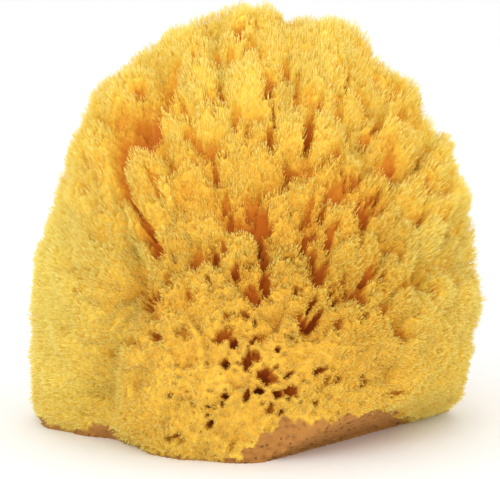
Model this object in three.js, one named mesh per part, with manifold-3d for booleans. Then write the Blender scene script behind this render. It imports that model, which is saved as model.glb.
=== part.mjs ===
/**
 * A grown bath sponge. It is one domed body of fibre tufts that spread from a low root, and it
 * was cut off flat where it came away from its rock, with a second, slanting cut at the front
 * right. The solid reaches the tips of the tufts.
 *
 * Millimetres, +Z up, the front faces -Y. The origin is at the bottom centre of the body, on
 * the flat cut that it rests on.
 */
import * as THREE from 'three';
import { mergeVertices } from 'three/addons/utils/BufferGeometryUtils.js';
import Module from 'manifold-3d';

// Overall size, tip to tip.
const WIDTH = 170;
const DEPTH = 146;
const HEIGHT = 155;

// Level of the widest section, and how far the body would reach below it if it were not cut.
const WIDEST_LEVEL = 56;
const UNCUT_REACH = 128;

// Number of parts that each edge of the starting icosahedron is divided into.
const EDGE_PARTS = 18;

// Crowns of the tufts: how far they stand above the hollows between them, and their spacing.
const CROWN_HEIGHT = 3.4;
const CROWN_PITCH = 25;

// The slanting cut: the way it faces, how far from the middle it leaves the flat cut, and how
// steeply it rises from there.
const SLANT_AZIMUTH = 48;
const SLANT_START = 44.5;
const SLANT_RISE = 35;

// Swells and dips of the dome. Azimuth 0 is the front and 90 the right, elevation is above the
// widest level, both in degrees as is the spread. A negative rise is a dip.
const SWELLS = [
  { name: 'front belly', azimuth: -12, elevation: -22, spread: 26, rise: 6 },
  { name: 'left flap', azimuth: -84, elevation: -6, spread: 26, rise: 4 },
  { name: 'left foot', azimuth: -94, elevation: -40, spread: 16, rise: 13 },
  { name: 'left heel', azimuth: -62, elevation: -46, spread: 11, rise: -14 },
  { name: 'left shoulder', azimuth: -90, elevation: 54, spread: 9, rise: -1 },
  { name: 'crown', azimuth: -10, elevation: 86, spread: 9, rise: 4 },
  { name: 'dip beside the crown', azimuth: 90, elevation: 79, spread: 5, rise: -3 },
  { name: 'right crown', azimuth: 90, elevation: 70, spread: 6, rise: 3 },
  { name: 'right shoulder', azimuth: 88, elevation: 52, spread: 8, rise: 2 },
  { name: 'right notch', azimuth: 90, elevation: 42, spread: 4, rise: -9 },
  { name: 'right ear', azimuth: 90, elevation: 36, spread: 4, rise: 4 },
  { name: 'right cheek', azimuth: 90, elevation: 21, spread: 9, rise: -4 },
  { name: 'right hip', azimuth: 90, elevation: 3, spread: 7, rise: 3 },
  { name: 'right foot', azimuth: 88, elevation: -38, spread: 14, rise: 3 },
  { name: 'back belly', azimuth: 165, elevation: -8, spread: 34, rise: 5 },
  { name: 'back left hollow', azimuth: -142, elevation: 20, spread: 16, rise: -5 },
  { name: 'back right hollow', azimuth: 128, elevation: 30, spread: 14, rise: -4 },
  { name: 'back crown', azimuth: 175, elevation: 55, spread: 18, rise: 4 },
];

// Creases that part the lobes, each along a line of [azimuth, elevation] points.
const CREASES = [
  { name: 'left crease', width: 5, depth: 9, line: [[-52, 62], [-56, 42], [-48, 24], [-37, 8]] },
  { name: 'left foot crease', width: 7, depth: 9, line: [[-37, 8], [-44, -10], [-56, -30]] },
  { name: 'right crease', width: 6, depth: 6, line: [[34, 52], [47, 30], [52, 6]] },
  { name: 'back crease', width: 6, depth: 8, line: [[-165, 60], [-150, 34], [-158, 5]] },
  { name: 'back right crease', width: 6, depth: 6, line: [[140, 56], [118, 34], [122, 4]] },
];

const sponge = new THREE.Mesh(
  spongeGeometry(await cuttingTools()),
  new THREE.MeshStandardMaterial({ color: 0xe3b044, roughness: 0.95, metalness: 0 }),
);
sponge.name = 'sponge';

/** The dome with its swells, creases and crowns, cut twice. */
function spongeGeometry(wasm) {
  const dome = domeGeometry();
  const flat = slabBelow(0);
  const slant = slantingSlab();
  const solid = solidOf(dome, wasm).subtract(solidOf(flat, wasm)).subtract(solidOf(slant, wasm));
  return geometryOf(solid);
}

/** The uncut body: a sphere's points moved out to the dome, then fitted to the overall size. */
function domeGeometry() {
  const geometry = new THREE.IcosahedronGeometry(1, EDGE_PARTS - 1);
  const places = geometry.attributes.position;
  const way = new THREE.Vector3();
  for (let i = 0; i < places.count; i += 1) {
    way.fromBufferAttribute(places, i).normalize();
    const point = way.clone().multiplyScalar(reach(way));
    places.setXYZ(i, point.x, point.y, point.z);
  }
  fitToSize(geometry);
  return geometry;
}

/** Distance from the middle of the widest section to the tips, in the direction given. */
function reach(way) {
  const vertical = way.z > 0 ? HEIGHT - WIDEST_LEVEL : UNCUT_REACH;
  const squared = (way.x / (WIDTH / 2)) ** 2 + (way.y / (DEPTH / 2)) ** 2 + (way.z / vertical) ** 2;
  const plain = 1 / Math.sqrt(squared);
  const swell = SWELLS.reduce((sum, s) => sum + s.rise * bell(angleTo(way, s), s.spread), 0);
  const crease = CREASES.reduce((most, c) => Math.max(most, creaseDepth(way, c)), 0);
  return plain + swell - crease + crowns(way.clone().multiplyScalar(plain));
}

/** 1 in the middle, falling smoothly to nothing past about twice the spread. */
function bell(angle, spread) {
  return Math.exp(-0.5 * (angle / spread) ** 2);
}

/** Unit vector of an azimuth and an elevation in degrees. */
function direction(azimuth, elevation) {
  const turn = THREE.MathUtils.degToRad(azimuth);
  const lift = THREE.MathUtils.degToRad(elevation);
  return new THREE.Vector3(
    Math.sin(turn) * Math.cos(lift),
    -Math.cos(turn) * Math.cos(lift),
    Math.sin(lift),
  );
}

function angleTo(way, { azimuth, elevation }) {
  return THREE.MathUtils.radToDeg(way.angleTo(direction(azimuth, elevation)));
}

/** How deep a crease is in this direction: deepest on its line, nothing at its width away. */
function creaseDepth(way, { line, width, depth }) {
  const points = line.map(([azimuth, elevation]) => direction(azimuth, elevation));
  const nearest = new THREE.Vector3();
  let angle = Infinity;
  for (let i = 1; i < points.length; i += 1) {
    new THREE.Line3(points[i - 1], points[i]).closestPointToPoint(way, true, nearest);
    angle = Math.min(angle, THREE.MathUtils.radToDeg(way.angleTo(nearest)));
  }
  return depth * bell(angle, width / 2);
}

/** Rounded crowns and the hollows between them, from three crossed waves with uneven phases. */
function crowns(point) {
  const turn = (2 * Math.PI) / CROWN_PITCH;
  const x = point.x * turn + 0.9 * Math.sin(0.5 * point.z * turn);
  const y = point.y * turn + 0.9 * Math.sin(0.5 * point.x * turn + 1);
  const z = point.z * turn + 0.9 * Math.sin(0.5 * point.y * turn + 2);
  const wave = Math.sin(x) * Math.cos(y) + Math.sin(y) * Math.cos(z) + Math.sin(z) * Math.cos(x);
  return (CROWN_HEIGHT * wave) / 3;
}

/** Scales and shifts the body so that its tips span the width and depth and reach the height. */
function fitToSize(geometry) {
  geometry.computeBoundingBox();
  const { min, max } = geometry.boundingBox;
  const middle = new THREE.Vector3().addVectors(min, max).multiplyScalar(0.5);
  geometry.translate(-middle.x, -middle.y, 0);
  geometry.scale(
    WIDTH / (max.x - min.x),
    DEPTH / (max.y - min.y),
    (HEIGHT - WIDEST_LEVEL) / max.z,
  );
  geometry.translate(0, 0, WIDEST_LEVEL);
}

/** A slab wider than the body, whose top is at the level given. */
function slabBelow(level) {
  const thickness = 2 * UNCUT_REACH;
  const slab = new THREE.BoxGeometry(4 * WIDTH, 4 * DEPTH, thickness);
  return slab.translate(0, 0, level - thickness / 2);
}

/** The same slab, tipped so that it takes the slanting cut off the front right. */
function slantingSlab() {
  const facing = direction(SLANT_AZIMUTH, 0);
  const hinge = new THREE.Vector3(-facing.y, facing.x, 0);
  const slab = slabBelow(0);
  slab.applyMatrix4(
    new THREE.Matrix4().makeRotationAxis(hinge, THREE.MathUtils.degToRad(-SLANT_RISE)),
  );
  return slab.translate(facing.x * SLANT_START, facing.y * SLANT_START, 0);
}

async function cuttingTools() {
  const wasm = await Module();
  wasm.setup();
  return wasm;
}

function solidOf(geometry, wasm) {
  const bare = geometry.clone();
  bare.deleteAttribute('normal');
  bare.deleteAttribute('uv');
  const merged = mergeVertices(bare, 1e-4);
  return new wasm.Manifold(
    new wasm.Mesh({
      numProp: 3,
      vertProperties: Float32Array.from(merged.attributes.position.array),
      triVerts: Uint32Array.from(merged.index.array),
    }),
  );
}

function geometryOf(solid) {
  const { vertProperties, triVerts } = solid.getMesh();
  const geometry = new THREE.BufferGeometry();
  geometry.setAttribute('position', new THREE.BufferAttribute(vertProperties, 3));
  geometry.setIndex(new THREE.BufferAttribute(triVerts, 1));
  geometry.computeVertexNormals();
  return geometry;
}

const part = new THREE.Group();
part.add(sponge);

export default part;
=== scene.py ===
"""A natural bath sponge: a domed body of fibre tufts round open hollows, trimmed flat below."""

import math

import bmesh
import bpy
import numpy as np
from bpy.props import FloatProperty, FloatVectorProperty, IntProperty, PointerProperty
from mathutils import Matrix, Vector
from mathutils.bvhtree import BVHTree
from mathutils.kdtree import KDTree


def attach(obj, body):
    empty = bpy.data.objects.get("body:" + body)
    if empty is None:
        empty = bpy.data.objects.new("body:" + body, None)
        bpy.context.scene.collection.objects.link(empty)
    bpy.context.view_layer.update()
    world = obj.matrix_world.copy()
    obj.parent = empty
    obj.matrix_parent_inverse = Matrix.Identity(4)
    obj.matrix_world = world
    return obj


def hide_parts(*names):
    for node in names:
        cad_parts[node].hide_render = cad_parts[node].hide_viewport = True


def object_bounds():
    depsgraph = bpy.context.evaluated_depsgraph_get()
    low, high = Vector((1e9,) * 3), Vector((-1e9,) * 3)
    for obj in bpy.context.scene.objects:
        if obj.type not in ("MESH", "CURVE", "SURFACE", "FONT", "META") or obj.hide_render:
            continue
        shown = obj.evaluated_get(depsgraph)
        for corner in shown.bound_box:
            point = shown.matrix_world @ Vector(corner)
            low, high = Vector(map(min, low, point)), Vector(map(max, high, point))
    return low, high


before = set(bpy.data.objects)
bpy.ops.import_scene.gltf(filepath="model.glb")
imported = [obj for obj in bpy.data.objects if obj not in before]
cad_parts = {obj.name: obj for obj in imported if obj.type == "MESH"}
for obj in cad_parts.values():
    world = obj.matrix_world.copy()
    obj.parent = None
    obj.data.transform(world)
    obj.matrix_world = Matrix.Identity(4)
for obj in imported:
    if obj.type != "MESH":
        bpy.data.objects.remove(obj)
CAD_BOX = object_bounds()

bl_info = {
    "name": "Natural Bath Sponge",
    "version": (1, 0, 0),
    "blender": (4, 5, 0),
    "location": "3D View > Sidebar > Sponge",
    "description": "Grows a bath sponge with tufts, hollows, pores and fibres",
    "category": "Add Mesh",
}

MM = 0.001
LOW = np.array(CAD_BOX[0])
HIGH = np.array(CAD_BOX[1])
SIZE = HIGH - LOW

# The heart is the middle of the widest section, which lies at this share of the height. Azimuths
# and elevations are measured from it. The root is the low point that every tuft grows away from.
WIDEST_SHARE = 0.361
MIDDLE = (LOW + HIGH) / 2
HEART = np.array([MIDDLE[0], MIDDLE[1], LOW[2] + WIDEST_SHARE * SIZE[2]])
ROOT = HEART * (1, 1, 0) + (0, 5 * MM, 8 * MM)

# The front is laid out as it is seen by an eye a little above it: how far off, in metres, and the
# angle it looks down at, in degrees.
SIGHT_DISTANCE = 1.1
SIGHT_ELEVATION = 10

# The hollows of the front, placed one by one. Across and up from the heart to the middle of each,
# its half-width, its half-height and its depth, all in millimetres.
CREST_HOLLOWS = (
    (-30, 78, 3.4, 2.6, 4),
    (-10, 84, 1.4, 2.4, 6),
    (11, 81, 2.0, 2.2, 6),
    (30, 78, 2.6, 1.8, 4),
    (-18, 69, 1.8, 1.8, 8),
    (-14, 71, 1.6, 3.0, 7),
    (-16, 63, 0.8, 3.0, 6),
    (4, 72, 2.4, 3.0, 9),
    (6, 65, 1.3, 3.2, 9),
    (15, 70, 1.2, 6.0, 5),
    (24, 66, 1.6, 1.6, 6),
    (31, 66, 1.8, 1.4, 5),
    (34, 74, 1.0, 3.6, 8),
    (39, 70, 1.4, 1.8, 5),
    (52, 70, 1.6, 1.8, 5),
    (47, 60, 1.8, 3.0, 8),
    (56, 63, 2.4, 1.8, 4),
    (42, 54, 3.0, 2.6, 6),
    (-28, 64, 1.0, 4.5, 4),
    (-8, 59, 1.6, 3.0, 6),
    (-4, 54, 1.6, 3.0, 6),
    (5, 54, 2.2, 4.0, 9),
    (-23, 52, 1.8, 2.4, 6),
    (-16, 50, 2.6, 2.6, 6),
    (-12, 48, 1.0, 1.2, 12),
    (19, 54, 2.2, 4.4, 10),
    (-23, 44, 1.3, 2.2, 6),
    (-35, 46, 1.0, 1.6, 6),
    (-32, 42, 1.6, 1.8, 5),
    (-16, 42, 1.4, 2.6, 5),
    (12, 42, 2.2, 2.0, 7),
    (30, 46, 2.6, 2.4, 8),
    (26, 43, 1.8, 1.6, 6),
    (30, 40, 1.6, 1.4, 8),
    (49, 44, 3.0, 3.0, 4),
)
MIDDLE_HOLLOWS = (
    (-38, 34, 1.4, 4.5, 4),
    (-32, 26, 2.4, 0.9, 5),
    (-42, 20, 1.4, 3.4, 9),
    (-37, 10, 2.6, 4.2, 10),
    (-16, 8, 1.7, 2.6, 10),
    (-15, 13, 3.0, 1.2, 4),
    (-12, 10, 1.2, 2.4, 6),
    (-8, 2, 1.6, 2.4, 9),
    (-19, 0, 0.9, 2.4, 5),
    (-10, 21, 1.4, 3.6, 8),
    (-3, 29, 2.6, 3.0, 5),
    (1, 20, 3.4, 6.0, 10),
    (-4, 19, 2.6, 2.0, 7),
    (2, 8, 2.4, 5.0, 8),
    (-2, 5, 2.4, 1.2, 5),
    (3, -1, 2.2, 3.0, 9),
    (11, 36, 2.0, 2.6, 6),
    (11, 8, 2.0, 1.2, 4),
    (17, 12, 2.6, 2.4, 12),
    (20, 15, 3.6, 2.4, 8),
    (21, 8, 1.8, 1.8, 11),
    (26, 11, 1.6, 2.0, 8),
    (27, 17, 2.6, 3.2, 6),
    (24, 1, 2.4, 5.0, 8),
    (20, 27, 1.4, 5.0, 5),
    (25, 25, 1.2, 2.4, 7),
    (29, 31, 3.0, 4.0, 6),
    (37, 36, 2.6, 2.4, 6),
    (41, 26, 3.6, 4.6, 9),
    (40, 20, 1.2, 1.8, 7),
    (38, 12, 1.6, 1.2, 5),
    (43, 1, 2.8, 2.0, 8),
    (47, 0, 1.4, 2.2, 8),
    (34, -3, 3.0, 1.2, 5),
    (57, -3, 2.6, 1.8, 4),
    (-33, -1, 3.4, 1.6, 4),
)
COMB_HOLLOWS = (
    (-40, -9, 4.4, 2.2, 9),
    (-46, -7, 3.6, 1.2, 5),
    (-26, -6, 1.6, 2.6, 5),
    (-39, -22, 1.2, 3.2, 7),
    (-28, -21, 2.2, 2.2, 3),
    (-12, -14, 1.8, 1.8, 4),
    (-5, -14, 2.6, 1.4, 6),
    (-1, -17, 1.0, 1.8, 9),
    (-2, -7, 2.6, 3.4, 8),
    (3, -5, 2.2, 4.2, 9),
    (-13, -21, 3.2, 2.2, 7),
    (-9.5, -24.5, 1.5, 1.8, 11),
    (-2, -23.5, 2.4, 1.6, 9),
    (1.5, -22.5, 1.8, 1.4, 4),
    (7.5, -27.5, 1.0, 1.0, 7),
    (-13, -32.5, 1.3, 1.9, 10),
    (-4, -31.5, 2.2, 2.2, 9),
    (-0.5, -30, 1.6, 1.8, 8),
    (-4, -35, 1.2, 0.8, 5),
    (1.5, -37, 2.4, 2.5, 11),
    (5, -38, 1.8, 3.0, 7),
    (11.5, -37, 1.0, 1.7, 7),
    (0, -43, 1.7, 1.3, 11),
    (-4, -44.5, 2.2, 1.1, 7),
    (8, -44, 1.5, 1.8, 8),
    (12.5, -43, 2.2, 2.4, 8),
    (5, -49, 2.6, 1.2, 5),
    (9, -51, 1.5, 0.8, 6),
    (-12.5, -45, 1.2, 1.5, 10),
    (-13.5, -47.5, 0.9, 0.8, 8),
    (-19, -48.5, 0.8, 0.8, 5),
    (-19, -52, 0.9, 1.2, 6),
    (-18, -55.5, 1.3, 1.4, 9),
    (-33.5, -44.5, 1.0, 0.8, 6),
    (-31, -60, 1.2, 2.4, 7),
    (-29, -61.5, 1.0, 0.8, 8),
    (17.5, -16.5, 2.2, 1.8, 10),
    (20.5, -10, 1.1, 3.0, 8),
    (22, -16, 1.6, 3.8, 11),
    (15, -5, 2.6, 1.8, 6),
    (27.5, -5, 2.0, 2.6, 8),
    (30, -9, 1.4, 2.6, 10),
    (30, -17.5, 1.8, 2.0, 5),
    (12, -22, 2.2, 1.0, 4),
    (16, -21, 1.2, 1.6, 5),
    (40.5, -15, 1.5, 2.0, 8),
    (47, -12, 2.4, 2.2, 5),
    (55, -22, 3.0, 1.6, 6),
    (23.5, -35, 1.2, 2.4, 7),
    (26, -38.5, 1.4, 1.0, 7),
    (31.5, -38, 1.4, 1.0, 5),
    (17.5, -39, 1.0, 0.8, 4),
    (40.5, -39, 1.8, 1.2, 7),
    (22.5, -47.5, 1.4, 0.8, 6),
    (52, -44, 1.2, 3.0, 4),
)

# Shallow dips in the soft left flap, laid out in the same way.
FLAP_DIPS = (
    (-56, 13, 1.2, 2.0, 3),
    (-64, 3, 2.4, 1.8, 2.5),
    (-70, 3, 3.0, 2.2, 3),
    (-68, -10, 2.6, 2.0, 3),
    (-74, -20, 2.2, 2.6, 3.5),
    (-47, -25, 2.0, 1.8, 3),
    (-55, -28, 3.2, 2.6, 3.5),
)

# How each group of hollows is cut: how many times wider and deeper than listed, and how gently
# its hollows rise, from 0 for a plain pit to 1 for a soft dent.
HOLLOW_GROUPS = (
    (CREST_HOLLOWS, 1.25, 1.3, 1.0),
    (MIDDLE_HOLLOWS, 1.2, 1.2, 0.65),
    (COMB_HOLLOWS, 1.15, 1.0, 0.35),
    (FLAP_DIPS, 1.0, 1.0, 1.0),
)

# The fold that parts the smooth left flap from the tufts, from its top: across, up and width.
LEFT_FOLD = (
    (-31, 75, 1.6),
    (-33, 66, 2.2),
    (-36, 58, 2.8),
    (-41, 52, 3.2),
    (-47, 46, 2.4),
    (-50, 40, 1.6),
    (-49, 33, 1.4),
    (-45, 25, 0.9),
    (-41, 18, 1.0),
    (-37, 10, 1.2),
)

# Bumps and notches of the outline: the angle round the heart seen from the front, 0 at the right
# and 90 at the crown, the spread in degrees and the rise in millimetres.
OUTLINE = (
    (-28, 5, -3.5),
    (-14, 4, -2.0),
    (7, 7, -4.4),
    (23, 3.5, 4.0),
    (34, 2.2, 0.6),
    (39.5, 1.6, -4.6),
    (48, 2, -2.4),
    (59, 3.5, -3.4),
    (72.5, 4, 2.4),
    (82, 3, -2.4),
    (91.5, 3.2, 2.6),
    (99, 2.2, -3.0),
    (105.5, 2.2, 1.0),
    (130, 7, 3.0),
    (145, 4, -1.8),
    (157, 6, -4.6),
    (169, 8, -2.6),
    (190, 7, -3.0),
    (210, 4, -2.0),
)

# The trimmed strip low on the front: its height, the stretches across over which it rises and
# falls, and the height, middle and width of the small trimmed patch at the left foot.
STRIP_HEIGHT = 15.5 * MM
STRIP_RISE = (-11 * MM, 8 * MM)
STRIP_FALL = (50 * MM, 56 * MM)
PATCH_HEIGHT = 6 * MM
PATCH_MIDDLE = -59 * MM
PATCH_WIDTH = 7 * MM

# How strongly the points of the body crowd towards the front, and at what elevation.
CROWDING = 0.42
CROWDING_ELEVATION = 22

# How far the body stays inside the tips to leave room for the fibres, the depth of the fine pores,
# the depth at which a hollow's painted shade is darkest, and how far a fibre's foot is sunk in the
# body.
FIBRE_ROOM = 1.5 * MM
PORE_DEPTH = 2.4 * MM
DARKEST_DEPTH = 10.5 * MM
FOOT_DEPTH = 0.8 * MM


# ---------------------------------------------------------------------------------------------
# Settings
# ---------------------------------------------------------------------------------------------


def measure_setting(name, description, default, unit="LENGTH"):
    """A setting that is a length, or a measure in the other unit given."""
    return FloatProperty(name=name, description=description, default=default, unit=unit)


def colour_setting(name, description, default):
    """A setting that is a colour."""
    return FloatVectorProperty(
        name=name, description=description, default=default, subtype="COLOR", min=0, max=1
    )


class SpongeShape(bpy.types.PropertyGroup):
    """Sizes of the tufts, hollows and pores."""

    body_parts: IntProperty(
        name="Body parts",
        description="Parts that each edge of the starting icosahedron is divided into",
        default=138,
        min=4,
        max=200,
    )
    most_triangles: IntProperty(
        name="Most triangles",
        description="Plain parts of the body are thinned out until it has no more than these",
        default=198000,
        min=1000,
        max=198000,
    )
    tuft_spacing: measure_setting(
        "Tuft spacing", "Usual distance between neighbouring tufts", 13.5 * MM
    )
    tuft_valley: measure_setting("Tuft valley", "Depth of the valleys between tufts", 7.0 * MM)
    lock_spacing: measure_setting(
        "Lock spacing", "Distance between the small locks of fibre that make up a tuft", 3.4 * MM
    )
    lock_valley: measure_setting("Lock valley", "Depth of the grooves between locks", 1.3 * MM)
    hollow_spacing: measure_setting(
        "Hollow spacing", "Least distance between the scattered hollows", 8.5 * MM
    )
    hollow_depth: measure_setting(
        "Hollow depth", "Depth of the deepest scattered hollows", 10 * MM
    )
    pore_spacing: measure_setting(
        "Pore spacing", "Least distance between the fine pores", 2.7 * MM
    )
    pore_radius: measure_setting("Pore radius", "Radius of the largest fine pores", 0.95 * MM)


class SpongeFibres(bpy.types.PropertyGroup):
    """Sizes and number of the fibres."""

    per_piece: IntProperty(
        name="Fibres per piece",
        description="Number of fibres in each of the fibre pieces",
        default=49500,
        min=10,
        max=49500,
    )
    length: measure_setting("Length", "Usual length of a fibre", 2.0 * MM)
    thickness: measure_setting("Thickness", "Width of a fibre at its blunt end", 0.21 * MM)
    spread: FloatProperty(
        name="Spread",
        description="How far a fibre may lean from its tuft's direction",
        default=0.30,
        subtype="FACTOR",
        min=0,
        max=1,
    )


class SpongeColours(bpy.types.PropertyGroup):
    """Colours of the fibre from its tips down into the hollows, the darker ones partly its deeper
    tone and partly painted shade, and of the trimmed skin.
    """

    tip: colour_setting("Tip", "Colour of the fibre tips", (0.95, 0.87, 0.32))
    gold: colour_setting("Gold", "Colour of the sides of the tufts", (0.93, 0.75, 0.12))
    # Orange, amber and deep are partly the fibre's own deeper tone and partly painted shade in the
    # valleys between tufts and in the hollows.
    orange: colour_setting("Orange", "Colour of the valleys between the tufts", (0.89, 0.55, 0.06))
    amber: colour_setting("Amber", "Colour of the walls of the hollows", (0.62, 0.235, 0.02))
    deep: colour_setting("Deep", "Colour at the bottom of the hollows", (0.50, 0.125, 0.012))
    skin: colour_setting("Trimmed skin", "Colour of the cut faces", (0.39, 0.185, 0.058))


class SpongeStudio(bpy.types.PropertyGroup):
    """Camera, lights and floor."""

    distance: measure_setting(
        "Camera distance", "Distance from the camera to the middle of the sponge", SIGHT_DISTANCE
    )
    elevation: FloatProperty(
        name="Camera elevation",
        description="Angle that the camera looks down at",
        default=math.radians(SIGHT_ELEVATION),
        subtype="ANGLE",
    )
    view_width: measure_setting("View width", "Width that the view takes in at the sponge", 0.1841)
    aim_across: measure_setting(
        "Aim across", "How far to the right of the sponge's middle the camera aims", -2.6 * MM
    )
    aim_height: measure_setting("Aim height", "Height that the camera aims at", 68.4 * MM)
    key_power: measure_setting(
        "Key light", "Power of the large soft light at the upper left", 5.2, unit="POWER"
    )
    top_power: measure_setting(
        "Top light", "Power of the large soft light above and behind", 1.2, unit="POWER"
    )
    fill_power: measure_setting(
        "Fill light", "Power of the soft light at the right", 2.3, unit="POWER"
    )
    sky: FloatProperty(
        name="Surround",
        description="Brightness of the white surround",
        default=1.08,
    )
    floor: colour_setting("Floor", "Colour of the floor", (0.90, 0.905, 0.91))


# ---------------------------------------------------------------------------------------------
# Points, directions and smooth random fields
# ---------------------------------------------------------------------------------------------


def unit(vectors):
    return vectors / np.linalg.norm(vectors, axis=-1, keepdims=True)


def dot(a, b):
    return (a * b).sum(-1)


def step(low, high, values):
    """0 below low and 1 above high, with a smooth rise between them."""
    t = np.clip((values - low) / (high - low), 0, 1)
    return t * t * (3 - 2 * t)


def heading(azimuth, elevation):
    """Unit vector of an azimuth, 0 at the front and 90 at the right, and an elevation."""
    turn, lift = math.radians(azimuth), math.radians(elevation)
    return np.array(
        [
            math.sin(turn) * math.cos(lift),
            -math.cos(turn) * math.cos(lift),
            math.sin(lift),
        ]
    )


def bell(directions, azimuth, elevation, spread):
    """1 in the direction given, falling smoothly to nothing past about twice the spread."""
    angle = np.degrees(np.arccos(np.clip(directions @ heading(azimuth, elevation), -1, 1)))
    return np.exp(-0.5 * (angle / spread) ** 2)


def waves(points, size, seed, count=28):
    """A smooth random field of about -1 to 1 whose features are of the size given."""
    rng = np.random.default_rng(seed)
    ways = unit(rng.normal(size=(count, 3)))
    pitch = 2 * math.pi / (size * rng.uniform(0.75, 1.5, count))
    phase = rng.uniform(0, 2 * math.pi, count)
    total = np.zeros(len(points))
    for way, turn, start in zip(ways, pitch, phase, strict=True):
        total += np.sin(points @ way * turn + start)
    return total * math.sqrt(2 / count) / 1.6


def geodesic_sphere(parts):
    """Unit directions and triangles of an icosahedron whose edges are divided into parts."""
    seed = bmesh.new()
    bmesh.ops.create_icosphere(seed, subdivisions=1, radius=1)
    seed.verts.ensure_lookup_table()
    corners = np.array([v.co for v in seed.verts])
    faces = [[v.index for v in f.verts] for f in seed.faces]
    seed.free()
    rows = [(i, j) for i in range(parts + 1) for j in range(parts + 1 - i)]
    place = {cell: n for n, cell in enumerate(rows)}
    share = np.array([(parts - i - j, i, j) for i, j in rows]) / parts
    patch = [
        (place[i, j], place[i + 1, j], place[i, j + 1])
        for i in range(parts)
        for j in range(parts - i)
    ]
    patch += [
        (place[i + 1, j], place[i + 1, j + 1], place[i, j + 1])
        for i in range(parts - 1)
        for j in range(parts - 1 - i)
    ]
    patch = np.array(patch)
    points = np.concatenate([share @ corners[f] for f in faces])
    triangles = np.concatenate([patch + n * len(rows) for n in range(len(faces))])
    _, first, where = np.unique(
        np.round(points, 6), axis=0, return_index=True, return_inverse=True
    )
    return unit(points[first]), where.reshape(-1)[triangles]


def tree_of(points):
    tree = KDTree(len(points))
    for n, point in enumerate(points):
        tree.insert(point, n)
    tree.balance()
    return tree


def scattered(points, spacing, seed):
    """Indices of points in random order, none nearer to another than its spacing."""
    rng = np.random.default_rng(seed)
    order = rng.permutation(len(points))[:60000]
    spacing = np.broadcast_to(spacing, len(points))
    cell = float(spacing.max())
    taken = {}
    kept = []
    for n in order:
        point = points[n]
        key = tuple(np.floor(point / cell).astype(int))
        near = [
            other
            for dx in (-1, 0, 1)
            for dy in (-1, 0, 1)
            for dz in (-1, 0, 1)
            for other in taken.get((key[0] + dx, key[1] + dy, key[2] + dz), ())
        ]
        if near and np.min(((points[near] - point) ** 2).sum(1)) < spacing[n] ** 2:
            continue
        taken.setdefault(key, []).append(n)
        kept.append(n)
    return np.array(kept)


def cells(points, seeds):
    """Distance from each point to its nearest seed, to the second nearest, and the nearest."""
    tree = tree_of(seeds)
    first = np.empty(len(points))
    second = np.empty(len(points))
    nearest = np.empty(len(points), int)
    for n, point in enumerate(points):
        (_, nearest[n], first[n]), (_, _, second[n]) = tree.find_n(point, 2)
    return first, second, nearest


# ---------------------------------------------------------------------------------------------
# Meshes
# ---------------------------------------------------------------------------------------------


def mesh_object(name, points, triangles, smooth=True):
    """A new object of these points and triangles, linked to the scene."""
    mesh = bpy.data.meshes.new(name)
    mesh.vertices.add(len(points))
    mesh.vertices.foreach_set("co", points.astype(np.float32).ravel())
    mesh.loops.add(3 * len(triangles))
    mesh.loops.foreach_set("vertex_index", triangles.astype(np.int32).ravel())
    mesh.polygons.add(len(triangles))
    mesh.polygons.foreach_set("loop_start", np.arange(0, 3 * len(triangles), 3, dtype=np.int32))
    mesh.polygons.foreach_set("use_smooth", np.full(len(triangles), smooth))
    mesh.update(calc_edges=True)
    piece = bpy.data.objects.new(name, mesh)
    bpy.context.collection.objects.link(piece)
    return piece


def store(mesh, name, values):
    """Keeps a number for each vertex under a name, for materials and later steps to read."""
    layer = mesh.attributes.new(name, "FLOAT", "POINT")
    layer.data.foreach_set("value", values.astype(np.float32))


def stored(mesh, name):
    values = np.empty(len(mesh.vertices), np.float32)
    mesh.attributes[name].data.foreach_get("value", values)
    return values.astype(float)


def points_of(mesh):
    values = np.empty(3 * len(mesh.vertices), np.float32)
    mesh.vertices.foreach_get("co", values)
    return values.reshape(-1, 3).astype(float)


def normals_of(mesh):
    values = np.empty(3 * len(mesh.vertices), np.float32)
    mesh.vertices.foreach_get("normal", values)
    return values.reshape(-1, 3).astype(float)


def triangles_of(mesh):
    values = np.empty(len(mesh.loops), np.int32)
    mesh.loops.foreach_get("vertex_index", values)
    return values.reshape(-1, 3)


# ---------------------------------------------------------------------------------------------
# Body
# ---------------------------------------------------------------------------------------------


def cast_tips(ways):
    """Where each direction from the heart leaves the solid that reaches the tips."""
    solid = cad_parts["sponge"].data
    tree = BVHTree.FromPolygons(
        [v.co for v in solid.vertices], [p.vertices for p in solid.polygons]
    )
    heart = Vector(HEART)
    tips = np.empty((len(ways), 3))
    normals = np.empty((len(ways), 3))
    for n, way in enumerate(ways):
        place, normal, _, _ = tree.ray_cast(heart, Vector(way))
        if place is None:
            raise RuntimeError("a direction from the heart misses the solid")
        tips[n] = place
        normals[n] = normal
    return tips, normals


def slant_normal():
    """The direction that the slanting cut faces: the largest flat face apart from the base."""
    areas = {}
    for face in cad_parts["sponge"].data.polygons:
        if -0.95 < face.normal.z < -0.5:
            key = tuple(round(n, 2) for n in face.normal)
            areas[key] = areas.get(key, 0) + face.area
    return unit(np.array(max(areas, key=areas.get)))


def trimmed_skin(tips):
    """How far each point lies on the trimmed strip, low on the front right, under a ragged edge."""
    across = tips[:, 0] + 3 * MM * waves(tips, 9 * MM, 23)
    top = STRIP_HEIGHT * step(*STRIP_RISE, across) * (1 - step(*STRIP_FALL, across))
    top += PATCH_HEIGHT * np.exp(-(((tips[:, 0] - PATCH_MIDDLE) / PATCH_WIDTH) ** 2))
    top += 2.4 * MM * waves(tips * (1, 0, 0), 6 * MM, 19) + 0.6 * MM * waves(tips, 2 * MM, 24)
    return (1 - step(-0.6 * MM, 0.6 * MM, tips[:, 2] - top)) * (tips[:, 1] < 0)


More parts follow.
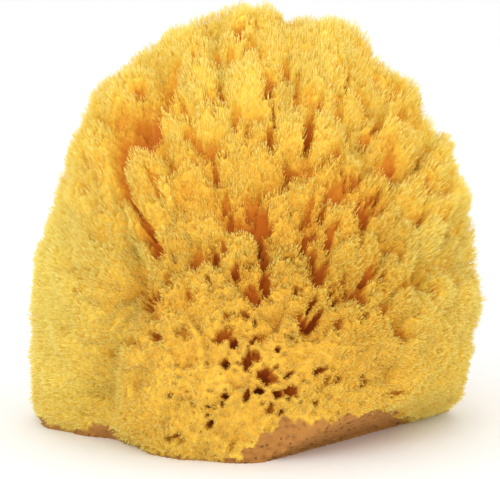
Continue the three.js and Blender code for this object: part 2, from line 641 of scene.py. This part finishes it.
def neighbour_mean(values, triangles, rounds):
    """Values evened out over the mesh, each towards the mean of its neighbours."""
    pairs = np.concatenate([triangles[:, [0, 1]], triangles[:, [1, 2]], triangles[:, [2, 0]]])
    count = np.bincount(pairs[:, 0], minlength=len(values))[:, None]
    for _ in range(rounds):
        total = np.stack(
            [
                np.bincount(pairs[:, 0], values[pairs[:, 1], axis], len(values))
                for axis in range(values.shape[1])
            ],
            1,
        )
        values = 0.5 * values + 0.5 * total / count
    return values


def regions(ways):
    """How far each direction belongs to the finely pored front, the soft left flap and the
    open tufts of the upper body."""
    lift = np.degrees(np.arcsin(np.clip(ways[:, 2], -1, 1)))
    comb = bell(ways, -4, -20, 22)
    flap = bell(ways, -82, -2, 26) * (1 - 0.8 * step(-0.1, 0.5, ways[:, 1]))
    tufted = step(-24, 14, lift) * (1 - 0.9 * np.minimum(flap * 1.15, 1)) * (1 - comb)
    return comb, flap, tufted


def outline_rise(ways):
    """How far the outline seen from the front stands out, on a band from the front to the back."""
    turn = np.degrees(np.arctan2(ways[:, 2], ways[:, 0])) % 360
    band = step(0.72, 0.96, np.hypot(ways[:, 0], ways[:, 2]))
    rise = np.zeros(len(ways))
    for angle, spread, height in OUTLINE:
        apart = np.abs((turn - angle + 180) % 360 - 180)
        rise += height * MM * np.exp(-0.5 * (apart / spread) ** 2)
    return band * rise


def overlapping(tips, spacing, unevenness, seed):
    """Tufts that overlap like shingles: how far each point has fallen from the lip at the top of
    its tuft, 0 to 1, how near it is to the tuft's edge, 0 to 1, and which tuft it belongs to."""
    sway = [waves(tips, 4 * unevenness, seed + axis) for axis in range(3)]
    places = (tips + unevenness * np.stack(sway, 1)) * (1, 1, 0.7)
    seeds = places[scattered(places, 0.8 * spacing, seed)]
    first, second, nearest = cells(places, seeds)
    way = unit(tips - HEART)
    upward = np.array((0, 0, 1)) - way * way[:, 2:]
    rise = dot(places - seeds[nearest], upward) / spacing
    fall = np.clip(0.45 - rise, 0, 1) ** 2
    edge = np.exp(-(((second - first) / (0.25 * spacing)) ** 2))
    return fall, edge, nearest


def seen_from_front(places):
    """Where places are seen from the front, across and up from the heart in millimetres, and
    how far each faces that way."""
    lift = math.radians(SIGHT_ELEVATION)
    sight = np.array((0, -math.cos(lift), math.sin(lift)))
    upright = np.array((0, math.sin(lift), math.cos(lift)))
    offset = places - HEART
    nearer = SIGHT_DISTANCE / (SIGHT_DISTANCE - offset @ sight)
    seen = np.stack([offset[:, 0], offset @ upright], 1) * nearer[:, None] / MM
    return seen, unit(offset) @ sight


def placed_hollows(tips, warp):
    """Depth of the hollows of the front, ovals as seen from there that lean with the growth."""
    seen, facing = seen_from_front(tips)
    root = seen_from_front(ROOT[None])[0][0]
    depth = np.zeros(len(tips))
    for rows, wider, deeper, soft in HOLLOW_GROUPS:
        for across, up, half_width, half_height, deep in rows:
            offset = seen - (across, up)
            near = (np.abs(offset).max(1) < 3 * max(half_width, half_height)) & (facing > 0)
            along = unit(np.array((across, up)) - root)
            sideways = offset[near] @ (along[1], -along[0]) / (wider * half_width)
            upward = offset[near] @ along / (wider * half_height)
            dent = deeper * deep * MM * dented(sideways, upward, soft, warp[near])
            depth[near] = np.maximum(depth[near], dent)
    return depth


def left_fold(tips, warp):
    """Depth of the fold beside the left flap, steep under the tufts and gentle on the flap."""
    seen, facing = seen_from_front(tips)
    depth = np.zeros(len(tips))
    corners = np.array(LEFT_FOLD, float)
    for (*start, near_width), (*end, far_width) in zip(corners[:-1], corners[1:], strict=True):
        run = np.subtract(end, start)
        along = np.clip((seen - start) @ run / dot(run, run), 0, 1)
        offset = seen - start - along[:, None] * run
        width = near_width + (far_width - near_width) * along
        apart = np.linalg.norm(offset, axis=1) / (width * (1 + 0.3 * warp))
        flapward = step(0, 2.5, offset @ unit(np.array((run[1], -run[0]))))
        fall = step(0.4 - 0.4 * flapward, 1.2 + 2.4 * flapward, apart)
        deep = MM * np.minimum(4 + 1.6 * width, 9)
        depth = np.maximum(depth, deep * (1 - fall) * (facing > 0))
    return depth


def dented(sideways, upward, soft, warp):
    """How deep a hollow is, 0 to 1, at these shares of its half-width and half-height. Its rim
    is uneven, it is deepest at its lower lip, and the softer it is the more gently it rises."""
    upward = np.where(upward > 0, upward / (1.1 + 0.4 * soft), upward)
    reach = np.hypot(sideways, upward) + 0.36 * warp
    climb = np.clip(0.6 + upward, 0, 1.6) / 1.6
    return (1 - step(0.72, 1.12, reach)) * (1 - 0.75 * soft * climb)


def hollow(tips, growth, centre, across, along, deep, soft, warp):
    """Depth of one hollow: an oval hole that runs in towards the root."""
    offset = tips - tips[centre]
    near = (offset**2).sum(1) < (3 * max(across, along)) ** 2
    depth = np.zeros(len(tips))
    inward = growth[centre]
    side = np.cross(inward, (0, 0, 1))
    side = np.array([1.0, 0, 0]) if np.linalg.norm(side) < 0.2 else unit(side)
    rise = np.cross(side, inward)
    sideways = offset[near] @ side / across
    upward = offset[near] @ rise / along
    depth[near] = deep * dented(sideways, upward, soft, warp[near])
    return depth


def scattered_hollows(tips, growth, shape, comb, flap, tufted, warp):
    """Depth of the hollows between tufts all round the body."""
    rng = np.random.default_rng(11)
    chance = 0.12 + 0.55 * tufted + 0.02 * comb - 0.10 * flap
    chance *= 1 - 0.75 * step(0.35, 0.75, unit(tips - HEART) @ heading(0, 15))
    centres = scattered(tips, shape.hollow_spacing, 12)
    centres = centres[rng.random(len(centres)) < chance[centres]]
    depth = np.zeros(len(tips))
    for centre in centres:
        open_up = tufted[centre]
        across = rng.uniform(0.9, 1.6) * (1 + 0.9 * open_up) * MM
        along = across * rng.uniform(1.0, 1.7)
        deep = shape.hollow_depth * rng.uniform(0.45, 1.0) * (0.7 + 0.3 * open_up)
        depth = np.maximum(depth, hollow(tips, growth, centre, across, along, deep, open_up, warp))
    return depth


def fine_pores(tips, shape, comb, flap):
    """Depth of the fine pores, thickest on the front below the middle."""
    rng = np.random.default_rng(21)
    centres = scattered(tips, shape.pore_spacing, 22)
    chance = 0.06 + 0.38 * comb - 0.05 * flap
    centres = centres[rng.random(len(centres)) < chance[centres]]
    radius = shape.pore_radius * rng.uniform(0.4, 1.0, len(centres)) ** 1.5
    first, _, nearest = cells(tips, tips[centres])
    return PORE_DEPTH * (1 - step(0.6, 1.2, first / radius[nearest]))


def grow_body(shape):
    """Points, triangles and the numbers kept for each point of the sponge's body."""
    ways, triangles = geodesic_sphere(shape.body_parts)
    ways = unit(ways + CROWDING * heading(0, CROWDING_ELEVATION))
    flat_tips, normals = cast_tips(ways)
    slant = step(0.995, 0.999, normals @ slant_normal()) * (flat_tips[:, 0] < STRIP_FALL[1])
    base = step(0.97, 0.99, -normals[:, 2])
    tips = neighbour_mean(flat_tips, triangles, 8)
    tips += (flat_tips - tips) * np.maximum(base, slant)[:, None]
    skin = trimmed_skin(tips)
    cut = np.maximum(base, skin)
    comb, flap, tufted = regions(ways)
    growth = unit(tips - ROOT)

    warp = waves(tips, 5 * MM, 1) + 0.6 * waves(tips, 2.2 * MM, 2)
    tuft_fall, tuft_edge, tuft = overlapping(tips, shape.tuft_spacing, 2.2 * MM, 3)
    patchy = np.clip(0.8 + 0.5 * waves(tips, 15 * MM, 17), 0.3, 1.3)
    patchy *= (0.25 + 0.75 * tufted) * (1 - 0.7 * flap)
    crown = shape.tuft_valley * patchy * (tuft_fall + 0.3 * tuft_edge)

    lock_fall, lock_edge, lock = overlapping(tips, shape.lock_spacing, 0.8 * MM, 7)
    fine = (0.5 + 0.5 * tufted) * (1 - 0.6 * flap)
    locks = shape.lock_valley * fine * (lock_fall + 0.5 * lock_edge)

    hollows = np.maximum.reduce(
        (
            placed_hollows(tips, warp),
            scattered_hollows(tips, growth, shape, comb, flap, tufted, warp),
            left_fold(tips, warp),
        )
    )
    pores = fine_pores(tips, shape, comb, flap)
    rough = 0.5 * MM * waves(tips, 4 * MM, 13) + 0.25 * MM * waves(tips, 1.8 * MM, 14)
    uneven = 2.0 * MM * waves(tips, 18 * MM, 15) * (0.3 + 0.7 * tufted)

    keep = 1 - cut
    open_depth = keep * np.maximum(hollows, pores)
    outside = keep * (1 - 0.8 * step(0.5 * MM, 4 * MM, open_depth))
    depth = outside * (crown + locks) + open_depth
    inset = keep * (FIBRE_ROOM - uneven) + outside * rough
    pitted = 0.5 * waves(tips, 3 * MM, 18) + 0.8 * step(0.7, 1.1, waves(tips, 2.2 * MM, 20))
    inset += skin * (1 - base) * MM * (2.0 + pitted)
    points = tips - growth * (depth + inset)[:, None]
    points[:, 2] = np.maximum(points[:, 2], LOW[2])
    tones = np.random.default_rng(16).random((2, len(tips)))
    outward = unit(tips - HEART)
    points += growth * (keep * outline_rise(outward))[:, None]
    points[:, 2] = np.maximum(points[:, 2], LOW[2])
    # The shade is painted shade, partly the sponge's deeper tone: darker the deeper a hollow, in
    # the pocket above each tuft's lip and in the grooves between locks, and at the middle of the
    # front. The sides, the crown and the left flap are painted paler, a painted glow of light
    # through the thin fuzz at the edges.
    numbers = {
        "shade": np.clip(open_depth / DARKEST_DEPTH, 0, 1) ** 0.9
        + outside * (0.45 * patchy * tuft_fall + 0.12 * fine * lock_fall)
        + 0.09 * bell(outward, 8, 4, 34)
        - 0.13 * step(0.6, 0.95, np.maximum(np.abs(outward[:, 0]), outward[:, 2]))
        - 0.06 * flap,
        "fold": outside * patchy * tuft_fall,
        "depth": depth,
        "hollow": open_depth,
        "cut": cut,
        "comb": comb,
        "flap": flap,
        "tufted": tufted,
        "warmth": 0.6 * tones[0, tuft] + 0.4 * tones[1, lock],
    }
    return points, triangles, growth, numbers


def thin_out(piece, most):
    """Merges triangles where the surface is plain until the piece has no more than the most."""
    thinning = piece.modifiers.new("thin out", "DECIMATE")
    thinning.ratio = min(1, most / len(piece.data.polygons))
    bpy.context.view_layer.objects.active = piece
    bpy.ops.object.modifier_apply(modifier=thinning.name)


class SPONGE_OT_body(bpy.types.Operator):
    """Grow the body of the sponge inside the solid that reaches its tips"""

    bl_idname = "sponge.body"
    bl_label = "Grow Body"

    def execute(self, context):
        shape = context.scene.sponge_shape
        points, triangles, growth, numbers = grow_body(shape)
        body = mesh_object("sponge_body", points, triangles)
        for name, values in numbers.items():
            store(body.data, name, values)
        for axis, name in enumerate(("growth_x", "growth_y", "growth_z")):
            store(body.data, name, growth[:, axis])
        thin_out(body, shape.most_triangles)
        body.data.materials.append(body_material(context.scene.sponge_colours))
        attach(body, "root")
        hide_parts("sponge")
        return {"FINISHED"}


# ---------------------------------------------------------------------------------------------
# Fibres
# ---------------------------------------------------------------------------------------------

FIBRE_PIECES = ("front_fibres", "crown_fibres", "side_fibres", "back_fibres")


def fibre_region(ways):
    """Which fibre piece each direction belongs to, with borders that run into each other."""
    front = np.random.default_rng(45).uniform(-0.2, 0.2, len(ways)) - ways[:, 1]
    region = np.full(len(ways), 3)
    region[front > -0.2] = 2
    region[(front > -0.2) & (ways[:, 2] > 0.35)] = 1
    region[(front > 0.62) & (ways[:, 2] < 0.35)] = 0
    return region


def fibre_chances(points, triangles, kept, region):
    """How likely a fibre is to stand on each triangle. Few stand in hollows and folds, and none
    on the cuts or outside the region."""
    corners = points[triangles]
    area = np.linalg.norm(
        np.cross(corners[:, 1] - corners[:, 0], corners[:, 2] - corners[:, 0]), axis=1
    )
    shallow = 1 - step(1.5 * MM, 4.5 * MM, kept["hollow"][triangles].mean(1))
    bare = kept["cut"][triangles].max(1)
    folded = step(0.25, 0.8, kept["fold"][triangles].mean(1))
    weight = area * (0.01 + 0.99 * shallow) * (1 - 0.75 * folded) * (1 - step(0.1, 0.5, bare))
    weight *= fibre_region(unit(corners.mean(1) - HEART)) == region
    return weight / weight.sum()


def spikes(root, tip, thick, rng):
    """Points and triangles of three-sided spikes from below each root to a blunt end at its tip."""
    way = unit(tip - root)
    side = unit(np.cross(way, unit(rng.normal(size=root.shape))))
    other = np.cross(way, side)
    ring = [
        tip + thick[:, None] * (math.cos(turn) * side + math.sin(turn) * other)
        for turn in (0, 2 * math.pi / 3, 4 * math.pi / 3)
    ]
    places = np.stack([root - FOOT_DEPTH * way, *ring], 1).reshape(-1, 3)
    start = 4 * np.arange(len(root))[:, None, None]
    faces = (start + np.array([[0, 2, 1], [0, 3, 2], [0, 1, 3], [1, 2, 3]])).reshape(-1, 3)
    return places, faces


def grow_fibres(body, settings, seed, region):
    """Points, triangles, shades and warmth of the fibres that stand on one region of the body."""
    rng = np.random.default_rng(seed)
    mesh = body.data
    points, normals, triangles = points_of(mesh), normals_of(mesh), triangles_of(mesh)
    growth = np.stack([stored(mesh, "growth_" + axis) for axis in "xyz"], 1)
    names = ("shade", "depth", "hollow", "fold", "cut", "comb", "flap", "tufted", "warmth")
    kept = {n: stored(mesh, n) for n in names}
    chances = fibre_chances(points, triangles, kept, region)
    chosen = rng.choice(len(triangles), settings.per_piece, p=chances)
    share = rng.dirichlet((1, 1, 1), len(chosen))

    def at(values):
        picked = values[triangles[chosen]]
        return (picked * (share if values.ndim == 1 else share[:, :, None])).sum(1)

    root, out, up = at(points), unit(at(normals)), unit(at(growth))
    comb, flap, tufted, depth = (at(kept[n]) for n in ("comb", "flap", "tufted", "depth"))
    swirl = np.stack([waves(root, 2.4 * MM, s) for s in (31, 32, 33)], 1)
    loose = rng.normal(size=root.shape)
    spread = settings.spread * (1 - 0.55 * tufted - 0.3 * flap)[:, None]
    way = unit(up + 0.25 * out + spread * (0.7 * swirl + 0.45 * loose))
    long = settings.length * rng.uniform(0.5, 1.35, len(root))
    long *= 1 + 0.6 * tufted - 0.4 * comb + 0.3 * flap
    long *= 1.15 - 0.5 * step(0.5 * MM, 5 * MM, depth)
    tip = root + way * long[:, None]
    tip[:, 2] = np.maximum(tip[:, 2], LOW[2] + 0.4 * MM)
    thick = settings.thickness / 2 * rng.uniform(0.7, 1.25, len(root))
    places, faces = spikes(root, tip, thick, rng)

    tone = at(kept["warmth"]) * 0.6 + 0.4 * rng.random(len(root))
    # Each fibre is painted darker and more orange towards its foot: painted shade between the
    # fibres, partly their deeper tone at the root.
    painted_root_shade = rng.uniform(0.5, 0.8, len(root)) * (1 - 0.35 * tufted - 0.35 * flap)
    shade = at(kept["shade"])
    foot_shade = np.clip(shade + painted_root_shade, 0, 1)
    tip_shade = np.clip(shade * 0.85 + rng.uniform(-0.16, 0.03, len(root)), 0, 1)
    shades = np.stack([foot_shade, tip_shade, tip_shade, tip_shade], 1).reshape(-1)
    return places, faces, shades, np.repeat(tone, 4)


class SPONGE_OT_fibres(bpy.types.Operator):
    """Grow the fibres that stand on the tufts"""

    bl_idname = "sponge.fibres"
    bl_label = "Grow Fibres"

    def execute(self, context):
        settings = context.scene.sponge_fibres
        body = bpy.data.objects.get("sponge_body")
        if body is None:
            raise RuntimeError("the fibres need the body to stand on")
        material = fibre_material(context.scene.sponge_colours)
        for region, name in enumerate(FIBRE_PIECES):
            places, faces, shades, tones = grow_fibres(body, settings, 40 + region, region)
            piece = mesh_object(name, places, faces, smooth=False)
            store(piece.data, "shade", shades)
            store(piece.data, "warmth", tones)
            lay_out_by_colour(piece.data, shades, tones)
            piece.data.materials.append(material)
            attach(piece, "root")
        return {"FINISHED"}


def lay_out_by_colour(mesh, shades, tones):
    """A map on which each fibre lies by its shade and warmth, all that its colour needs. The
    corners of its blunt end are set a little apart, so that no face is without width."""
    corner = triangles_of(mesh).ravel()
    margin, span = 0.02, 0.96
    places = margin + span * np.stack([shades[corner], tones[corner]], 1)
    apart = 0.008 * np.array([(0, 0), (1, 0), (-0.5, 0.87), (-0.5, -0.87)])
    places += apart[corner % 4]
    layer = mesh.uv_layers.new(name="OFBake", do_init=False)
    layer.uv.foreach_set("vector", places.astype(np.float32).ravel())


# ---------------------------------------------------------------------------------------------
# Materials
# ---------------------------------------------------------------------------------------------


# Where a mix node keeps its amount, its two colours and the colour that comes out. It has other
# sockets of the same names for plain numbers.
MIX_AMOUNT = 0
MIX_FIRST = 6
MIX_SECOND = 7
MIX_RESULT = 2


class Nodes:
    """Adds and joins the nodes of one material."""

    def __init__(self, name):
        self.material = bpy.data.materials.new(name)
        self.material.use_nodes = True
        self.tree = self.material.node_tree
        self.tree.nodes.clear()

    def add(self, kind, values=None, **settings):
        node = self.tree.nodes.new(kind)
        for name, value in settings.items():
            setattr(node, name, value)
        for name, value in (values or {}).items():
            if isinstance(value, bpy.types.NodeSocket):
                self.tree.links.new(value, node.inputs[name])
            else:
                node.inputs[name].default_value = value
        return node

    def number(self, name):
        return self.add("ShaderNodeAttribute", attribute_name=name).outputs["Fac"]

    def maths(self, operation, first, second, third=0.0, clamp=False):
        node = self.add(
            "ShaderNodeMath",
            {0: first, 1: second, 2: third},
            operation=operation,
            use_clamp=clamp,
        )
        return node.outputs[0]

    def blend(self, amount, first, second):
        """The first colour, turned towards the second by the amount."""
        values = {MIX_AMOUNT: amount, MIX_FIRST: first, MIX_SECOND: second}
        return self.add("ShaderNodeMix", values, data_type="RGBA").outputs[MIX_RESULT]


def rgba(colour):
    return (*colour, 1)


def fibre_ramp(nodes, shade, colours):
    """The fibre's colour from its tip, at 0, to the bottom of a hollow, at 1, darkening with
    painted shade that is partly its deeper tone.
    """
    node = nodes.add("ShaderNodeValToRGB", {"Fac": shade})
    ramp = node.color_ramp
    stops = (
        (0.0, colours.tip),
        (0.12, colours.gold),
        (0.36, colours.orange),
        (0.7, colours.amber),
        (1.0, colours.deep),
    )
    ramp.elements[0].position = stops[0][0]
    ramp.elements[1].position = stops[-1][0]
    for place, _ in stops[1:-1]:
        ramp.elements.new(place)
    for element, (_, colour) in zip(ramp.elements, stops, strict=True):
        element.color = rgba(colour)
    return node.outputs["Color"]


def fibre_colour(nodes, shade, colours):
    """The ramp's colour, turned towards amber by the warmth of each tuft or fibre."""
    gold = fibre_ramp(nodes, shade, colours)
    warm = nodes.blend(0.3, gold, rgba(colours.amber))
    return nodes.blend(nodes.maths("MULTIPLY", nodes.number("warmth"), 0.6), gold, warm)


def finish_fibre(nodes, surface, normal=None):
    """A dull, slightly downy surface."""
    shader = nodes.add(
        "ShaderNodeBsdfPrincipled",
        {
            "Base Color": surface,
            "Roughness": 0.95,
            "Specular IOR Level": 0.08,
            "Sheen Weight": 0.06,
            "Sheen Roughness": 0.6,
            "Sheen Tint": (1.0, 0.86, 0.45, 1),
        },
    )
    if normal is not None:
        nodes.tree.links.new(normal, shader.inputs["Normal"])
    nodes.add("ShaderNodeOutputMaterial", {"Surface": shader.outputs[0]})
    return nodes.material


def fibre_material(colours):
    nodes = Nodes("sponge fibre")
    return finish_fibre(nodes, fibre_colour(nodes, nodes.number("shade"), colours))


def body_material(colours):
    nodes = Nodes("sponge body")
    place = nodes.add("ShaderNodeTexCoord").outputs["Object"]
    mottle = nodes.add(
        "ShaderNodeTexNoise", {"Vector": place, "Scale": 700.0, "Detail": 4.0, "Roughness": 0.65}
    ).outputs["Fac"]
    # The body between the fibres is painted darker and more orange by a mottled amount: painted
    # shade under the fibres, with a random mottle.
    lift = nodes.maths("MULTIPLY", mottle, 0.5)
    shade = nodes.maths("ADD", nodes.number("shade"), lift, clamp=True)
    gold = fibre_colour(nodes, shade, colours)
    surface = nodes.blend(nodes.number("cut"), gold, skin_colour(nodes, place, colours))
    bump = nodes.add(
        "ShaderNodeBump",
        {"Height": mottle, "Strength": 0.6, "Distance": 0.4 * MM},
    ).outputs["Normal"]
    return finish_fibre(nodes, surface, bump)


def skin_colour(nodes, place, colours):
    """Trimmed skin: tan, blotched, with small pits painted dark as painted shade."""
    blotch = nodes.add(
        "ShaderNodeTexNoise", {"Vector": place, "Scale": 160.0, "Detail": 5.0, "Roughness": 0.6}
    ).outputs["Fac"]
    pits = nodes.add("ShaderNodeTexVoronoi", {"Vector": place, "Scale": 350.0}).outputs["Distance"]
    pit = nodes.maths("LESS_THAN", pits, nodes.maths("MULTIPLY_ADD", blotch, 1.0, -0.28))
    half = nodes.maths("MULTIPLY", blotch, 0.5)
    tan = nodes.blend(half, rgba(colours.skin), rgba(colours.amber))
    # The pits are painted dark: painted shade in the small pores of the cut face.
    dark = rgba([0.4 * part for part in colours.skin])
    return nodes.blend(nodes.maths("MULTIPLY", pit, 0.8), tan, dark)


# ---------------------------------------------------------------------------------------------
# Stage
# ---------------------------------------------------------------------------------------------


def aim(thing, place, target):
    thing.location = Vector(place)
    thing.rotation_euler = (Vector(target) - Vector(place)).to_track_quat("-Z", "Y").to_euler()


def soft_light(name, place, target, size, power):
    light = bpy.data.lights.new(name, "AREA")
    light.shape = "DISK"
    light.size = size
    light.energy = power
    lamp = bpy.data.objects.new(name, light)
    bpy.context.collection.objects.link(lamp)
    aim(lamp, place, target)


class SPONGE_OT_stage(bpy.types.Operator):
    """Set the floor, the lights and the camera"""

    bl_idname = "sponge.stage"
    bl_label = "Set Stage"

    def execute(self, context):
        studio = context.scene.sponge_studio
        middle = (HEART[0], HEART[1], studio.aim_height)
        self.floor(studio)
        self.lights(context, studio, middle)
        self.camera(context, studio)
        return {"FINISHED"}

    def floor(self, studio):
        grid = bmesh.new()
        bmesh.ops.create_grid(grid, x_segments=8, y_segments=8, size=5)
        mesh = bpy.data.meshes.new("floor")
        grid.to_mesh(mesh)
        grid.free()
        floor = bpy.data.objects.new("floor", mesh)
        bpy.context.collection.objects.link(floor)
        floor.location.z = LOW[2]
        nodes = Nodes("pale floor")
        shader = nodes.add(
            "ShaderNodeBsdfPrincipled",
            {"Base Color": rgba(studio.floor), "Roughness": 0.8, "Specular IOR Level": 0.1},
        )
        nodes.add("ShaderNodeOutputMaterial", {"Surface": shader.outputs[0]})
        mesh.materials.append(nodes.material)

    def lights(self, context, studio, middle):
        world = bpy.data.worlds.new("white surround")
        world.use_nodes = True
        backdrop = world.node_tree.nodes["Background"]
        backdrop.inputs["Color"].default_value = (1, 1, 1, 1)
        backdrop.inputs["Strength"].default_value = studio.sky
        context.scene.world = world
        soft_light("key light", (-0.40, -1.10, 0.62), middle, 0.8, studio.key_power)
        soft_light("top light", (-0.15, 0.55, 1.25), middle, 1.0, studio.top_power)
        soft_light("fill light", (0.85, -0.90, 0.45), middle, 0.8, studio.fill_power)
        context.scene.view_settings.view_transform = "Standard"

    def camera(self, context, studio):
        lens = bpy.data.cameras.new("camera")
        lens.lens = lens.sensor_width * studio.distance / studio.view_width
        lens.clip_end = 50
        camera = bpy.data.objects.new("camera", lens)
        bpy.context.collection.objects.link(camera)
        target = Vector((HEART[0] + studio.aim_across, HEART[1], studio.aim_height))
        back = Vector((0, -math.cos(studio.elevation), math.sin(studio.elevation)))
        aim(camera, target + studio.distance * back, target)
        context.scene.camera = camera


# ---------------------------------------------------------------------------------------------
# Add-on
# ---------------------------------------------------------------------------------------------


class SPONGE_PT_panel(bpy.types.Panel):
    """Lists the steps and their settings"""

    bl_idname = "SPONGE_PT_panel"
    bl_label = "Bath Sponge"
    bl_space_type = "VIEW_3D"
    bl_region_type = "UI"
    bl_category = "Sponge"

    def draw(self, context):
        scene = context.scene
        steps = (
            (SPONGE_OT_body.bl_idname, (scene.sponge_shape, scene.sponge_colours)),
            (SPONGE_OT_fibres.bl_idname, (scene.sponge_fibres,)),
            (SPONGE_OT_stage.bl_idname, (scene.sponge_studio,)),
        )
        for step_name, groups in steps:
            box = self.layout.box()
            box.operator(step_name)
            for group in groups:
                for name in group.__annotations__:
                    box.prop(group, name)


SETTINGS = {
    "sponge_shape": SpongeShape,
    "sponge_fibres": SpongeFibres,
    "sponge_colours": SpongeColours,
    "sponge_studio": SpongeStudio,
}
CLASSES = (
    *SETTINGS.values(),
    SPONGE_OT_body,
    SPONGE_OT_fibres,
    SPONGE_OT_stage,
    SPONGE_PT_panel,
)


def register():
    for item in CLASSES:
        bpy.utils.register_class(item)
    for name, group in SETTINGS.items():
        setattr(bpy.types.Scene, name, PointerProperty(type=group))


def unregister():
    for name in SETTINGS:
        delattr(bpy.types.Scene, name)
    for item in reversed(CLASSES):
        bpy.utils.unregister_class(item)


def main():
    register()
    bpy.ops.sponge.stage()
    bpy.ops.sponge.body()
    bpy.ops.sponge.fibres()


if __name__ == "__main__":
    main()
